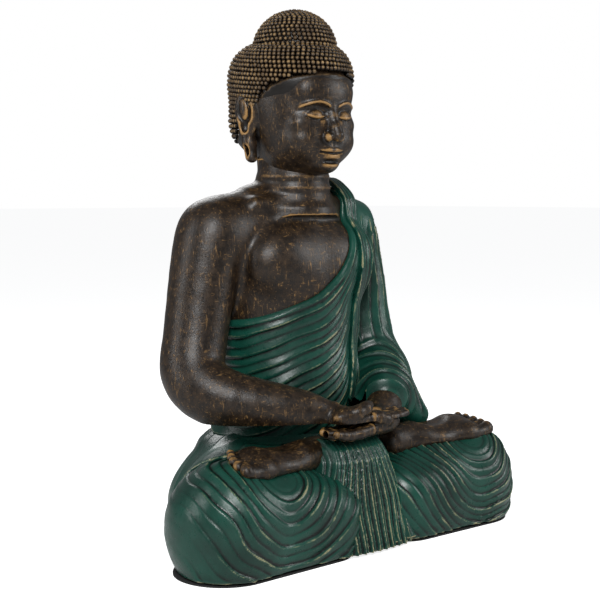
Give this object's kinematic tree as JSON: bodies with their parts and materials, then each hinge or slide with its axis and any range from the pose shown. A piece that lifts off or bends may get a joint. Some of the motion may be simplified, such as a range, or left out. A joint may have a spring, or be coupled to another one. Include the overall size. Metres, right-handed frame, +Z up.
{
  "type": "buddha statue",
  "caption": "Seated Buddha in meditation, legs crossed with soles up, hands in the lap, robe over the left shoulder; cast in hollow sections that are pinned and glued.",
  "frame": {"origin": "on the underside of the felt sheet, straight below the neck's axis, where the statue stands", "axes": "+Z up along the body; the figure faces -Y; +X is the figure's left"},
  "size_m": [0.48, 0.2845, 0.6009],
  "materials": {
    "felt": "matt felt",
    "plate": "matt",
    "steel": "plain zinc-plated steel",
    "robe": "cast resin painted dark green, gloss varnish, folds worn to a thin gold line",
    "skin": "cast resin painted dark bronze, dry-brushed with gold, satin varnish",
    "hair": "cast resin painted dark bronze, curls dry-brushed with gold"
  },
  "bodies": {
    "root": {"felt_sheet": "felt", "base_plate": "plate", "base_screws": "steel", "leg_dowels": "steel", "torso_dowels": "steel", "arm_dowels": "steel", "neck_dowels": "steel", "seat_casting": "robe", "right_leg_drape": "robe", "left_leg_drape": "robe", "front_pleats": "robe", "hem_ruffles": "robe", "lap_cloth": "robe", "torso_robe": "robe", "shoulder_sash": "robe", "left_sleeve": "robe", "torso_skin": "skin", "right_arm": "skin", "left_hand": "skin", "right_hand": "skin", "left_foot": "skin", "right_foot": "skin", "neck": "skin", "head": "skin", "right_ear": "skin", "left_ear": "skin", "urna": "skin", "hair_cap": "hair", "crown": "hair"}
  },
  "joints": []
}
